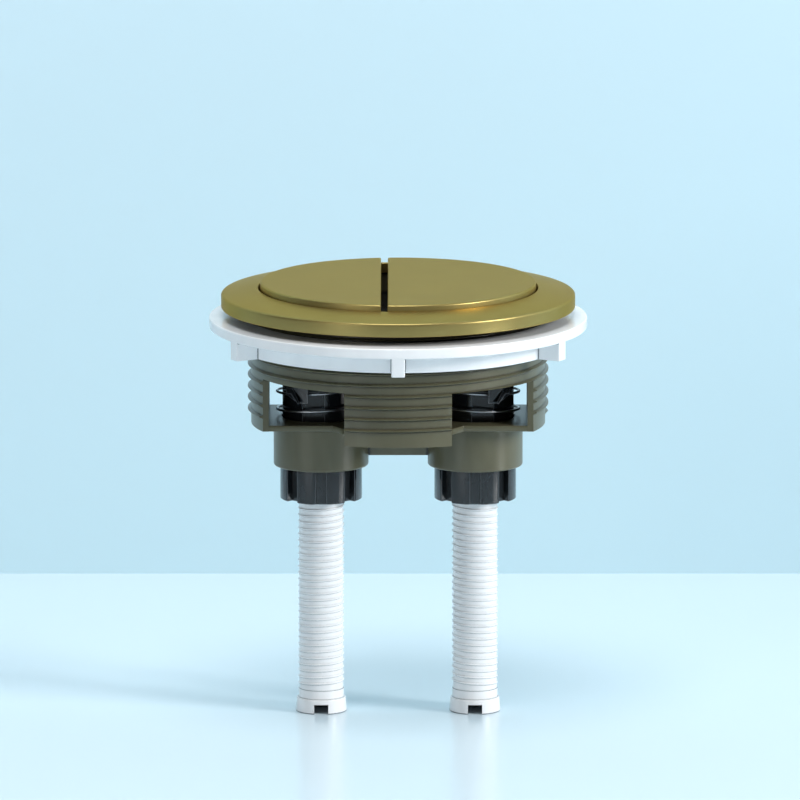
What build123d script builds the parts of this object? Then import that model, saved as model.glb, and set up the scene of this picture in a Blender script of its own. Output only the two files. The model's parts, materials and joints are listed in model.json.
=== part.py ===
from build123d import *
import math
import os

# Dual push button for the lid of a cistern. Millimetres, +Z up. The origin is on the plane
# of the two rod feet, under the axis of the round head. The small (half flush) button is on -X.

# Screw thread of the spigot
SPIGOT_R = 28.36
SPIGOT_WALL = 1.04
THREAD_PITCH = 2.2
THREAD_DEPTH = 0.64
THREAD_BASE_WIDTH = 0.77
THREAD_CREST_WIDTH = 0.1
THREAD_ROOT_DEPTH = 0.5
SPIGOT_BORE_R = SPIGOT_R - SPIGOT_WALL
CREST_R = SPIGOT_R + THREAD_DEPTH

# Bezel and its gasket
BEZEL_OVERHANG = 5.77
BEZEL_BORE_STEP = 1.43
BEZEL_BOTTOM_Z = 79.4
BEZEL_EDGE_HEIGHT = 2.6
BEZEL_HEIGHT = 3.8
BEZEL_RIM_WALL = 1.1
BEZEL_EDGE_CHAMFER_WIDTH = 0.35
BEZEL_BORE_CHAMFER_WIDTH = 0.25
BEZEL_SEAT_DEPTH = 0.8
SNAP_DEPTH = 1.0
SNAP_CLEARANCE = 0.08
GASKET_THICKNESS = 0.7
GASKET_SIDE_CLEARANCE = 0.15
BEZEL_R = SPIGOT_R + BEZEL_OVERHANG
BEZEL_BORE_R = SPIGOT_R - BEZEL_BORE_STEP
SPIGOT_TOP_Z = BEZEL_BOTTOM_Z + BEZEL_SEAT_DEPTH + SNAP_DEPTH

# Buttons
BUTTON_CLEARANCE = 0.32
BUTTON_RISE_HEIGHT = 1.1
BUTTON_TOP_WALL = 1.4
BUTTON_SKIRT_WALL = 1.2
BUTTON_SKIRT_DEPTH = 2.9
BUTTON_CHAMFER_WIDTH = 0.3
BUTTON_TRAVEL = 3.8
SPLIT_TUBE_GAP = 2.32
SPLIT_WIDTH = 1.3
BUTTON_R = BEZEL_BORE_R - BUTTON_CLEARANCE
BUTTON_TOP_Z = BEZEL_BOTTOM_Z + BEZEL_HEIGHT + BUTTON_RISE_HEIGHT
BUTTON_LOW_Z = BUTTON_TOP_Z - BUTTON_SKIRT_DEPTH

# Spigot below the lid: floor, windows and panels
BODY_DEPTH = 22.5
FLOOR_THICKNESS = 1.15
WINDOW_HEIGHT = 9.12
PANEL_HALF_WIDTH = 10.3
SIDE_HALF_WIDTH = 11.3
FLOOR_CORNER_WIDTH = 2.3
FLOOR_CORNER_DEPTH = 3.7
PANEL_RETURN_WIDTH = 0.9
THREAD_START_STEP = 0.48
THREAD_END_STEP = 1.0
FLOOR_BOTTOM_Z = BEZEL_BOTTOM_Z - BODY_DEPTH
FLOOR_TOP_Z = FLOOR_BOTTOM_Z + FLOOR_THICKNESS
WINDOW_TOP_Z = FLOOR_TOP_Z + WINDOW_HEIGHT
THREAD_START_Z = FLOOR_TOP_Z + THREAD_START_STEP
THREAD_TOP_Z = BEZEL_BOTTOM_Z - THREAD_END_STEP

# Push rods
ROD_R = 4.46
ROD_WALL = 1.36
ROD_LENGTH = 62.0
ROD_CLEARANCE = 0.16
FOOT_FLARE_WIDTH = 0.49
FOOT_TOP_FLARE_WIDTH = 0.27
FOOT_HEIGHT = 2.76
NECK_STEP = 0.08
NECK_HEIGHT = 1.7
FOOT_SLOT_WIDTH = 2.73
FOOT_SLOT_HEIGHT = 1.88
ROD_BORE_R = ROD_R - ROD_WALL

# Plungers
NOSE_WALL = 0.88
NOSE_DEPTH = 3.5
NOSE_GROOVE_DEPTH = 0.3
NOSE_GROOVE_WIDTH = 0.9
NOSE_CLEARANCE = 0.08
SLEEVE_STEP = 1.95
SLEEVE_FLAT_WIDTH = 4.1
SLEEVE_FLAT_OFFSET = 1.4
SLEEVE_FLAT_DEPTH = 1.2
SLEEVE_FLAT_HEIGHT = 7.95
CARRIER_RIB_HEIGHT = 6.2
HEAD_THICKNESS = 1.3
HEAD_EDGE_STEP = 0.13
SLEEVE_BORE_R = ROD_R + ROD_CLEARANCE
NOSE_R = SLEEVE_BORE_R + NOSE_WALL
SLEEVE_R = NOSE_R + SLEEVE_STEP
HEAD_TOP_Z = BUTTON_LOW_Z - CARRIER_RIB_HEIGHT
HEAD_BOTTOM_Z = HEAD_TOP_Z - HEAD_THICKNESS

# Springs
SPRING_WIRE_DIAMETER = 0.5
SPRING_CLEARANCE = 0.77
SPRING_PITCH = 3.4
SPRING_END_GAP = 0.05
SPRING_START_ANGLE = 116.5
SPRING_R = SLEEVE_R + SPRING_CLEARANCE + SPRING_WIRE_DIAMETER / 2
HEAD_R = SPRING_R + SPRING_WIRE_DIAMETER / 2 + HEAD_EDGE_STEP

# Carriers and retainers
CARRIER_CLEARANCE = 0.25
CARRIER_WALL = 0.8
CARRIER_DEPTH = 6.4
CARRIER_RIB_THICKNESS = 1.2
CARRIER_EDGE_GAP = 0.15
RETAINER_RIM_HEIGHT = 0.9
RETAINER_STEP = 0.4
RETAINER_TAB_WALL = 0.9
TAB_INNER_OFFSET = 2.5
TAB_WIDTH = 4.2
TAB_TIP_WIDTH = 1.9
TAB_HOOK_HEIGHT = 1.5
TAB_FLOOR_CLEARANCE = 0.25
CARRIER_R = HEAD_R + CARRIER_CLEARANCE + CARRIER_WALL
CARRIER_BOTTOM_Z = HEAD_BOTTOM_Z - CARRIER_DEPTH
RETAINER_R = CARRIER_R + RETAINER_STEP
TAB_TIP_Z = FLOOR_TOP_Z + BUTTON_TRAVEL + TAB_FLOOR_CLEARANCE

# Plunger sockets under the floor
SOCKET_WALL_GAP = 2.15
SOCKET_WALL = 1.52
SOCKET_DEPTH = 8.5
SOCKET_CHAMFER_WIDTH = 0.4
SOCKET_CLEARANCE = 0.2
WEB_STEP = 1.9
WEB_THICKNESS = 1.6
SOCKET_X = SPIGOT_BORE_R - RETAINER_R - SOCKET_WALL_GAP
SPLIT_CENTRE_X = CARRIER_R + SPLIT_TUBE_GAP - SOCKET_X
SOCKET_BORE_R = SLEEVE_R + SOCKET_CLEARANCE
SOCKET_R = SOCKET_BORE_R + SOCKET_WALL
SOCKET_BOTTOM_Z = FLOOR_BOTTOM_Z - SOCKET_DEPTH

# Guide plate inside the spigot
GUIDE_THICKNESS = 1.0
GUIDE_CLEARANCE = 0.1
GUIDE_HOLE_CLEARANCE = 0.3
GUIDE_BUTTON_GAP = 0.4
LEDGE_WIDTH = 1.3
LEDGE_HEIGHT = 1.2
GUIDE_TOP_Z = BUTTON_LOW_Z - BUTTON_TRAVEL - GUIDE_BUTTON_GAP

# Lock nut
NUT_SKIRT_WALL = 2.72
NUT_FLANGE_WIDTH = 4.63
NUT_LID_GAP = 1.85
NUT_FLANGE_HEIGHT = 2.03
NUT_CHAMFER_WIDTH = 0.3
NUT_HEIGHT = 5.5
NUT_CLEARANCE = 0.08
GUSSET_COUNT = 6
GUSSET_WIDTH = 2.6
NUT_TOP_Z = BEZEL_BOTTOM_Z - NUT_LID_GAP
NUT_BORE_R = CREST_R + NUT_CLEARANCE
NUT_SKIRT_R = NUT_BORE_R + NUT_SKIRT_WALL
NUT_R = NUT_SKIRT_R + NUT_FLANGE_WIDTH
NUT_BOTTOM_Z = NUT_TOP_Z - NUT_HEIGHT

# Collars
COLLAR_STEP = 0.49
COLLAR_HEIGHT = 6.45
COLLAR_GAP = 0.05
COLLAR_CHAMFER_WIDTH = 0.3
SHALLOW_FLUTE_WIDTH = 1.95
SHALLOW_FLUTE_DEPTH = 0.35
DEEP_FLUTE_WIDTH = 2.6
DEEP_FLUTE_DEPTH = 1.4
FLUTES_OF_EACH = 4
THREAD_CLEARANCE = 0.06
COLLAR_R = SLEEVE_R + COLLAR_STEP
COLLAR_TOP_Z = SOCKET_BOTTOM_Z - COLLAR_GAP
NOSE_LOW_Z = COLLAR_TOP_Z - NOSE_DEPTH

SIDES = {"small": -1, "large": 1}

# How far a cutter reaches past the surface it cuts through
OVERCUT = 1.0


def revolved(points):
    """Solid of revolution about the head's axis from (radius, z) corners."""
    corners = [(radius, 0, z) for radius, z in points]
    return revolve(make_face(Polyline(*corners, close=True)), Axis.Z)


def ring(outer, inner, low, high):
    """Plain tube from low to high, or a disc where inner is 0."""
    upward = (Align.CENTER, Align.CENTER, Align.MIN)
    solid = Pos(0, 0, low) * Cylinder(outer, high - low, align=upward)
    if inner:
        depth = high - low + 2 * OVERCUT
        solid -= Pos(0, 0, low - OVERCUT) * Cylinder(inner, depth, align=upward)
    return solid


def block(x_low, x_high, y_low, y_high, z_low, z_high):
    """Box between six planes."""
    size = (x_high - x_low, y_high - y_low, z_high - z_low)
    middle = ((x_low + x_high) / 2, (y_low + y_high) / 2, (z_low + z_high) / 2)
    return Pos(*middle) * Box(*size)


def beside(shape, side):
    """Moves a piece that was built on the Z axis to its socket, mirrored on the -X side."""
    if side < 0:
        shape = mirror(shape, about=Plane.YZ)
    return Pos(side * SOCKET_X, 0, 0) * shape


def half_moon(side, inset):
    """Outline of one button seen from above, drawn in by the inset on every side."""
    edge_x = SPLIT_CENTRE_X + side * (SPLIT_WIDTH / 2 + inset)
    radius = BUTTON_R - inset
    half_chord = math.sqrt(radius**2 - edge_x**2)
    chord = Line((edge_x, -half_chord), (edge_x, half_chord))
    arc = ThreePointArc((edge_x, half_chord), (side * radius, 0), (edge_x, -half_chord))
    return make_face(Curve() + [chord, arc])


def slab(face, low, high):
    """Extrudes a flat outline between two heights."""
    return extrude(Pos(0, 0, low) * face, high - low)


def make_bezel():
    """Round cover ring: coned top, hollow underside for the gasket, snapped over the spigot."""
    seat_z = BEZEL_BOTTOM_Z + BEZEL_SEAT_DEPTH
    seat_r = BEZEL_R - BEZEL_RIM_WALL
    snap_r = SPIGOT_R + SNAP_CLEARANCE
    edge_z = BEZEL_BOTTOM_Z + BEZEL_EDGE_HEIGHT
    top_z = BEZEL_BOTTOM_Z + BEZEL_HEIGHT
    return revolved([
        (BEZEL_BORE_R, SPIGOT_TOP_Z),
        (BEZEL_BORE_R, top_z - BEZEL_BORE_CHAMFER_WIDTH),
        (BEZEL_BORE_R + BEZEL_BORE_CHAMFER_WIDTH, top_z),
        (BEZEL_R - BEZEL_EDGE_CHAMFER_WIDTH, edge_z),
        (BEZEL_R, edge_z - BEZEL_EDGE_CHAMFER_WIDTH),
        (BEZEL_R, BEZEL_BOTTOM_Z),
        (seat_r, BEZEL_BOTTOM_Z),
        (seat_r, seat_z),
        (snap_r, seat_z),
        (snap_r, SPIGOT_TOP_Z),
    ])


def make_gasket():
    """Flat rubber ring in the underside of the bezel."""
    top = BEZEL_BOTTOM_Z + BEZEL_SEAT_DEPTH
    outer = BEZEL_R - BEZEL_RIM_WALL - GASKET_SIDE_CLEARANCE
    inner = SPIGOT_R + GASKET_SIDE_CLEARANCE
    return ring(outer, inner, top - GASKET_THICKNESS, top)


def spigot_thread():
    """Coarse single-start right-hand thread: a pointed ridge, sunk a little into the wall."""
    crest = THREAD_CREST_WIDTH / 2
    slope = (THREAD_BASE_WIDTH / 2 - crest) / THREAD_DEPTH
    root = THREAD_BASE_WIDTH / 2 + THREAD_ROOT_DEPTH * slope
    profile = Polyline(
        (SPIGOT_R - THREAD_ROOT_DEPTH, 0, -root),
        (CREST_R, 0, -crest),
        (CREST_R, 0, crest),
        (SPIGOT_R - THREAD_ROOT_DEPTH, 0, root),
        close=True,
    )
    path = Helix(pitch=THREAD_PITCH, height=THREAD_TOP_Z - THREAD_START_Z, radius=CREST_R)
    thread = sweep(make_face(profile), path=path, is_frenet=True)
    return Pos(0, 0, THREAD_START_Z) * thread


def floor_outline():
    """Floor seen from above: a straight strip under the windows, full depth behind the panels."""
    disc = Circle(SPIGOT_R)
    strip = disc & Rectangle(2 * SPIGOT_R, 2 * SIDE_HALF_WIDTH)
    panel = disc & Rectangle(2 * PANEL_HALF_WIDTH, 2 * SPIGOT_R)
    chamfer_x = PANEL_HALF_WIDTH + FLOOR_CORNER_WIDTH
    chamfer_y = SIDE_HALF_WIDTH + FLOOR_CORNER_DEPTH
    corners = [
        (PANEL_HALF_WIDTH, -chamfer_y),
        (chamfer_x, -SIDE_HALF_WIDTH),
        (chamfer_x, SIDE_HALF_WIDTH),
        (PANEL_HALF_WIDTH, chamfer_y),
        (-PANEL_HALF_WIDTH, chamfer_y),
        (-chamfer_x, SIDE_HALF_WIDTH),
        (-chamfer_x, -SIDE_HALF_WIDTH),
        (-PANEL_HALF_WIDTH, -chamfer_y),
    ]
    return strip + panel + make_face(Polyline(*corners, close=True))


def window_cutters():
    """Four windows through the wall, between the panels and the two threaded sides."""
    reach = CREST_R + OVERCUT
    low = FLOOR_BOTTOM_Z - OVERCUT
    cutters = []
    for side_x in (-1, 1):
        for side_y in (-1, 1):
            xs = sorted((side_x * PANEL_HALF_WIDTH, side_x * reach))
            ys = sorted((side_y * SIDE_HALF_WIDTH, side_y * reach))
            cutters.append(block(*xs, *ys, low, WINDOW_TOP_Z))
    return cutters


def panel_returns():
    """Short upright walls that stiffen the edges of the front and rear panels."""
    inner_y = SIDE_HALF_WIDTH + FLOOR_CORNER_DEPTH
    walls = []
    for side_x in (-1, 1):
        xs = sorted((side_x * PANEL_HALF_WIDTH, side_x * (PANEL_HALF_WIDTH - PANEL_RETURN_WIDTH)))
        wall = block(*xs, -SPIGOT_R, SPIGOT_R, FLOOR_BOTTOM_Z, WINDOW_TOP_Z)
        wall -= block(*xs, -inner_y, inner_y, FLOOR_TOP_Z, WINDOW_TOP_Z + OVERCUT)
        walls.append(wall & ring(SPIGOT_R, 0, FLOOR_BOTTOM_Z, WINDOW_TOP_Z))
    return walls


def make_spigot():
    """Threaded body that goes through the lid, with its floor, windows and two sockets."""
    wall = ring(SPIGOT_R, SPIGOT_BORE_R, FLOOR_BOTTOM_Z, SPIGOT_TOP_Z)
    wall += spigot_thread()
    for cutter in window_cutters():
        wall -= cutter
    ledge_z = GUIDE_TOP_Z - GUIDE_THICKNESS
    ledge = revolved([
        (SPIGOT_R - THREAD_ROOT_DEPTH, ledge_z),
        (SPIGOT_BORE_R - LEDGE_WIDTH, ledge_z),
        (SPIGOT_BORE_R - LEDGE_WIDTH, ledge_z - LEDGE_HEIGHT / 2),
        (SPIGOT_R - THREAD_ROOT_DEPTH, ledge_z - LEDGE_HEIGHT - LEDGE_WIDTH / 2),
    ])
    wall += ledge
    base = slab(floor_outline(), FLOOR_BOTTOM_Z, FLOOR_TOP_Z)
    for upright in panel_returns():
        base += upright
    web_z = SOCKET_BOTTOM_Z + WEB_STEP
    base += block(-SOCKET_X, SOCKET_X, -WEB_THICKNESS / 2, WEB_THICKNESS / 2, web_z, FLOOR_TOP_Z)
    socket = ring(SOCKET_R, 0, SOCKET_BOTTOM_Z, FLOOR_TOP_Z)
    low_rim = socket.edges().filter_by(GeomType.CIRCLE).sort_by(Axis.Z)[0]
    socket = chamfer(low_rim, SOCKET_CHAMFER_WIDTH)
    bore = ring(SOCKET_BORE_R, 0, SOCKET_BOTTOM_Z - OVERCUT, FLOOR_TOP_Z + OVERCUT)
    for side in SIDES.values():
        base += Pos(side * SOCKET_X, 0, 0) * socket
    for side in SIDES.values():
        base -= Pos(side * SOCKET_X, 0, 0) * bore
    return wall + base


def make_guide():
    """Plate across the spigot that guides both carriers and closes the head from below."""
    plate = ring(SPIGOT_BORE_R - GUIDE_CLEARANCE, 0, GUIDE_TOP_Z - GUIDE_THICKNESS, GUIDE_TOP_Z)
    for side in SIDES.values():
        hole = ring(CARRIER_R + GUIDE_HOLE_CLEARANCE, 0, CARRIER_BOTTOM_Z, BUTTON_TOP_Z)
        plate -= Pos(side * SOCKET_X, 0, 0) * hole
    return plate


def make_nut():
    """Flanged lock nut that clamps the lid from below, with gussets under its flange."""
    flange_z = NUT_TOP_Z - NUT_FLANGE_HEIGHT
    nut = revolved([
        (NUT_BORE_R, NUT_TOP_Z),
        (NUT_R - NUT_CHAMFER_WIDTH, NUT_TOP_Z),
        (NUT_R, NUT_TOP_Z - NUT_CHAMFER_WIDTH),
        (NUT_R, flange_z + NUT_CHAMFER_WIDTH),
        (NUT_R - NUT_CHAMFER_WIDTH, flange_z),
        (NUT_SKIRT_R, flange_z),
        (NUT_SKIRT_R, NUT_BOTTOM_Z),
        (NUT_BORE_R, NUT_BOTTOM_Z),
    ])
    outline = Polyline(
        (NUT_SKIRT_R - NUT_SKIRT_WALL / 2, 0, flange_z + NUT_FLANGE_HEIGHT / 2),
        (NUT_SKIRT_R - NUT_SKIRT_WALL / 2, 0, NUT_BOTTOM_Z),
        (NUT_R - NUT_CHAMFER_WIDTH, 0, NUT_BOTTOM_Z),
        (NUT_R - NUT_CHAMFER_WIDTH, 0, flange_z + NUT_FLANGE_HEIGHT / 2),
        close=True,
    )
    gusset = Rot(0, 0, -90) * extrude(make_face(outline), amount=GUSSET_WIDTH / 2, both=True)
    for index in range(GUSSET_COUNT):
        nut += Rot(0, 0, index * 360 / GUSSET_COUNT) * gusset
    return nut


def make_cap(side):
    """Shallow half-moon cap: flat top, short skirt all round, open below."""
    top = slab(half_moon(side, 0), BUTTON_LOW_Z, BUTTON_TOP_Z)
    top = chamfer(top.edges().group_by(Axis.Z)[-1], BUTTON_CHAMFER_WIDTH)
    hollow = slab(half_moon(side, BUTTON_SKIRT_WALL), BUTTON_LOW_Z - OVERCUT, BUTTON_TOP_Z - BUTTON_TOP_WALL)
    return top - hollow


def make_carrier(side):
    """Plate inside the cap with a tube below it, which is guided and holds the plunger's head."""
    plate = half_moon(side, BUTTON_SKIRT_WALL + CARRIER_EDGE_GAP)
    plate = slab(plate, BUTTON_LOW_Z, BUTTON_TOP_Z - BUTTON_TOP_WALL)
    tube = ring(CARRIER_R, CARRIER_R - CARRIER_WALL, CARRIER_BOTTOM_Z, BUTTON_LOW_Z)
    reach = CARRIER_R - CARRIER_WALL / 2
    half = CARRIER_RIB_THICKNESS / 2
    for angle in (0, 90):
        rib = block(-reach, reach, -half, half, HEAD_TOP_Z, BUTTON_LOW_Z)
        tube += Rot(0, 0, angle) * rib
    return plate + Pos(side * SOCKET_X, 0, 0) * tube


def make_retainer():
    """Ring on the end of the carrier's tube, with two hooked tabs outside the spring."""
    inner = CARRIER_R - CARRIER_WALL
    rim = ring(RETAINER_R, inner, CARRIER_BOTTOM_Z - RETAINER_RIM_HEIGHT, CARRIER_BOTTOM_Z)
    tab_top_z = CARRIER_BOTTOM_Z - RETAINER_RIM_HEIGHT / 2
    outline = Polyline(
        (TAB_INNER_OFFSET, 0, tab_top_z),
        (TAB_INNER_OFFSET, 0, TAB_TIP_Z),
        (TAB_INNER_OFFSET + TAB_TIP_WIDTH, 0, TAB_TIP_Z),
        (TAB_INNER_OFFSET + TAB_WIDTH, 0, TAB_TIP_Z + TAB_HOOK_HEIGHT),
        (TAB_INNER_OFFSET + TAB_WIDTH, 0, tab_top_z),
        close=True,
    )
    tab = extrude(make_face(outline), amount=RETAINER_R, both=True)
    tab &= ring(RETAINER_R, RETAINER_R - RETAINER_TAB_WALL, TAB_TIP_Z - OVERCUT, CARRIER_BOTTOM_Z)
    return rim + tab


def make_plunger():
    """Hollow sleeve with a head over the spring and a grooved nose for the collar."""
    groove_low = NOSE_LOW_Z + NOSE_DEPTH / 2
    sleeve = revolved([
        (SLEEVE_BORE_R, NOSE_LOW_Z),
        (NOSE_R, NOSE_LOW_Z),
        (NOSE_R, groove_low),
        (NOSE_R - NOSE_GROOVE_DEPTH, groove_low),
        (NOSE_R - NOSE_GROOVE_DEPTH, groove_low + NOSE_GROOVE_WIDTH),
        (NOSE_R, groove_low + NOSE_GROOVE_WIDTH),
        (NOSE_R, COLLAR_TOP_Z),
        (SLEEVE_R, COLLAR_TOP_Z),
        (SLEEVE_R, HEAD_BOTTOM_Z),
        (HEAD_R, HEAD_BOTTOM_Z),
        (HEAD_R, HEAD_TOP_Z),
        (SLEEVE_BORE_R, HEAD_TOP_Z),
    ])
    half = SLEEVE_FLAT_WIDTH / 2
    flat_y = SLEEVE_R - SLEEVE_FLAT_DEPTH
    for side_y in (-1, 1):
        ys = sorted((side_y * flat_y, side_y * (SLEEVE_R + OVERCUT)))
        xs = (SLEEVE_FLAT_OFFSET - half, SLEEVE_FLAT_OFFSET + half)
        sleeve -= block(*xs, *ys, FLOOR_BOTTOM_Z, FLOOR_TOP_Z + SLEEVE_FLAT_HEIGHT)
    return sleeve


def make_spring():
    """Wire coil from the floor to the plunger's head, wound to the left on +X."""
    low = FLOOR_TOP_Z + SPRING_END_GAP + SPRING_WIRE_DIAMETER / 2
    high = HEAD_BOTTOM_Z - SPRING_END_GAP - SPRING_WIRE_DIAMETER / 2
    path = Helix(pitch=SPRING_PITCH, height=high - low, radius=SPRING_R, lefthand=True)
    half = SPRING_WIRE_DIAMETER / 2
    wire = Polyline(
        (SPRING_R - half, 0, 0),
        (SPRING_R, 0, -half),
        (SPRING_R + half, 0, 0),
        (SPRING_R, 0, half),
        close=True,
    )
    coil = sweep(make_face(wire), path=path, is_frenet=True)
    return Pos(0, 0, low) * Rot(0, 0, SPRING_START_ANGLE) * coil


def make_collar():
    """Fluted collar on the plunger's nose, with the nut thread for the rod."""
    low = COLLAR_TOP_Z - COLLAR_HEIGHT
    groove_low = NOSE_LOW_Z + NOSE_DEPTH / 2
    bead_r = NOSE_R - NOSE_GROOVE_DEPTH + NOSE_CLEARANCE
    seat_r = NOSE_R + NOSE_CLEARANCE
    collar = revolved([
        (ROD_R + THREAD_CLEARANCE, low),
        (COLLAR_R - COLLAR_CHAMFER_WIDTH, low),
        (COLLAR_R, low + COLLAR_CHAMFER_WIDTH),
        (COLLAR_R, COLLAR_TOP_Z),
        (seat_r, COLLAR_TOP_Z),
        (seat_r, groove_low + NOSE_GROOVE_WIDTH - NOSE_CLEARANCE),
        (bead_r, groove_low + NOSE_GROOVE_WIDTH - NOSE_CLEARANCE),
        (bead_r, groove_low + NOSE_CLEARANCE),
        (seat_r, groove_low + NOSE_CLEARANCE),
        (seat_r, NOSE_LOW_Z - NOSE_CLEARANCE),
        (ROD_R + THREAD_CLEARANCE, NOSE_LOW_Z - NOSE_CLEARANCE),
    ])
    step = 360 / FLUTES_OF_EACH
    for index in range(FLUTES_OF_EACH):
        shallow = flute(SHALLOW_FLUTE_WIDTH, SHALLOW_FLUTE_DEPTH)
        deep = flute(DEEP_FLUTE_WIDTH, DEEP_FLUTE_DEPTH)
        collar -= Rot(0, 0, index * step) * shallow
        collar -= Rot(0, 0, (index + 0.5) * step) * deep
    return collar


def flute(width, depth):
    """Straight groove down the outside of the collar, at the front."""
    low = COLLAR_TOP_Z - COLLAR_HEIGHT - OVERCUT
    return block(-width / 2, width / 2, -COLLAR_R - OVERCUT, -COLLAR_R + depth, low, COLLAR_TOP_Z + OVERCUT)


def make_rod():
    """Hollow push rod with a flared foot, slotted at the front. Its fine thread is left off."""
    neck_top = FOOT_HEIGHT + NECK_HEIGHT
    rod = revolved([
        (ROD_BORE_R, 0),
        (ROD_R + FOOT_FLARE_WIDTH, 0),
        (ROD_R + FOOT_TOP_FLARE_WIDTH, FOOT_HEIGHT),
        (ROD_R - NECK_STEP, FOOT_HEIGHT),
        (ROD_R - NECK_STEP, neck_top),
        (ROD_R, neck_top),
        (ROD_R, ROD_LENGTH),
        (ROD_BORE_R, ROD_LENGTH),
    ])
    half = FOOT_SLOT_WIDTH / 2
    reach = ROD_R + FOOT_FLARE_WIDTH + OVERCUT
    return rod - block(-half, half, -reach, 0, -OVERCUT, FOOT_SLOT_HEIGHT)


def write(name, shape):
    """Writes one piece under its plain name."""
    export_step(shape, f"parts/{name}.step")
    print(name, len(shape.solids()), round(shape.volume, 1), shape.is_valid)


def main():
    os.makedirs("parts", exist_ok=True)
    write("bezel", make_bezel())
    write("bezel_gasket", make_gasket())
    write("threaded_spigot", make_spigot())
    write("guide_plate", make_guide())
    write("lock_nut", make_nut())
    for name, side in SIDES.items():
        write(f"{name}_button_cap", make_cap(side))
        write(f"{name}_carrier", make_carrier(side))
        write(f"{name}_retainer", beside(make_retainer(), side))
        write(f"{name}_plunger", beside(make_plunger(), side))
        write(f"{name}_spring", beside(make_spring(), side))
        write(f"{name}_collar", beside(make_collar(), side))
        write(f"{name}_rod", beside(make_rod(), side))


main()
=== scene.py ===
# %% [markdown]
# # A dual push button for a cistern, dressed for the camera
# The construction comes packed, in metres and with +Z up, and this script gives it its looks.
# Loading it first means that every later piece can take its size and its place from the frame.

# %% The frame
import json
import math

import bmesh
import bpy
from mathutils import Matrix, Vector


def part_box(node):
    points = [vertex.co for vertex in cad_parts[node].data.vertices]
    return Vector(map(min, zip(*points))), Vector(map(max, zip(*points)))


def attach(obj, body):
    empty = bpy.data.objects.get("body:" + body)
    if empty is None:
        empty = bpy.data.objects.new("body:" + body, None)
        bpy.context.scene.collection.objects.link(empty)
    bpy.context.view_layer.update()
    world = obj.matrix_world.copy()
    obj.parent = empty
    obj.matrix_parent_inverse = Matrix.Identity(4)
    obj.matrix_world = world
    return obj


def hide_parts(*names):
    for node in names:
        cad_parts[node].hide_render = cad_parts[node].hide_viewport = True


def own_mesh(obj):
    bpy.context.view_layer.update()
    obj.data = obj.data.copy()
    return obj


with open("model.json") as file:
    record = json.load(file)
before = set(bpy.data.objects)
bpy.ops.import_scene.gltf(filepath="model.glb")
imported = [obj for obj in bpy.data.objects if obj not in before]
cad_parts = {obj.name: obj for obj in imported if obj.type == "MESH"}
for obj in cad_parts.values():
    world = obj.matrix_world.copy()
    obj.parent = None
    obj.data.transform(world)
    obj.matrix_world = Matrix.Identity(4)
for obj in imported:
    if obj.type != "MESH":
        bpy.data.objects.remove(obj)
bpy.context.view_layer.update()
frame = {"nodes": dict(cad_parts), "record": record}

MM = 0.001
SIDES = {"small": -1, "large": 1}

# %% [markdown]
# ## Sizes
# The frame's own boxes give most sizes, so a changed part brings its looks along. What a box
# can't tell, such as a wall, a pitch or the depth of a groove, is named here in millimetres.

# %% Sizes read from the frame
bezel_low, bezel_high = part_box("bezel")
nut_low, nut_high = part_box("lock_nut")
spigot_low, spigot_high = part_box("threaded_spigot")
cap_low, cap_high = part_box("large_button_cap")
rod_low, rod_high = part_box("large_rod")
collar_low, collar_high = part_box("large_collar")
plunger_low, plunger_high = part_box("large_plunger")
spring_low, spring_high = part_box("large_spring")

AXIS_X = (rod_low.x + rod_high.x) / 2 / MM
BEZEL_R = bezel_high.x / MM
CREST_R = spigot_high.x / MM
CAP_R = cap_high.x / MM
NUT_R = nut_high.x / MM
print("socket axis at", round(AXIS_X, 2), "mm, thread crest", round(CREST_R, 2), "mm")

# %% Sizes that the boxes can't tell, in millimetres
BEZEL_EDGE_Z = 82.0
BEZEL_BORE_R = 26.93
BEZEL_RIM_WALL = 1.1
BEZEL_SEAT = 0.8
SPLIT_CENTRE_X = -2.65
SPLIT_WIDTH = 1.3
CAP_WALL = 1.2
CAP_TOP_WALL = 1.4

SPIGOT_R = 28.36
SPIGOT_WALL = 1.04
THREAD_PITCH = 2.2
THREAD_BASE = 0.77
THREAD_TIP = 0.1
THREAD_START_Z = 58.53
THREAD_TOP_Z = 78.4
FLOOR_THICKNESS = 1.15
WINDOW_TOP_Z = 67.17
PANEL_HALF_WIDTH = 10.3
SIDE_HALF_WIDTH = 11.3
CHAMFER_X = 2.3
CHAMFER_Y = 3.7
PANEL_RETURN = 0.9
SOCKET_R = 9.17
SOCKET_BORE_R = 7.65
WEB_BOTTOM_Z = 50.3
WEB_THICKNESS = 1.6
FLOOR_BOTTOM_Z = 56.9
FLOOR_TOP_Z = FLOOR_BOTTOM_Z + FLOOR_THICKNESS
GUIDE_BOTTOM_Z = 76.2
LEDGE_WIDTH = 1.3
LEDGE_HEIGHT = 1.2

NUT_FLANGE = 2.03
NUT_SKIRT_R = 31.8
NUT_BORE_R = CREST_R + 0.08
GUSSETS = 6
GUSSET_WIDTH = 2.6

ROD_R = 4.46
ROD_BORE_R = 3.1
ROD_PITCH = 1.27
ROD_ROOT_R = 4.28
ROD_THREAD_BASE = 0.45
ROD_THREAD_TIP = 0.08
FOOT_R = 4.95
FOOT_TOP_R = 4.73
FOOT_HEIGHT = 2.76
NECK_R = 4.38
NECK_HEIGHT = 1.7
FOOT_SLOT_WIDTH = 2.73
FOOT_SLOT_HEIGHT = 1.88

COLLAR_R = 7.94
SHALLOW_FLUTE = (1.95, 0.35)
DEEP_FLUTE = (2.6, 1.4)
SLEEVE_R = 7.45
SLEEVE_FLAT = (1.4, 4.1, 1.2)
SLEEVE_FLAT_LOW_Z = 56.9
SLEEVE_FLAT_HIGH_Z = 66.0
HEAD_R = 8.85
HEAD_THICKNESS = 1.3
NOSE_R = 5.5
NOSE_DEPTH = 3.5
PLUNGER_BORE_R = 4.62

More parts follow.
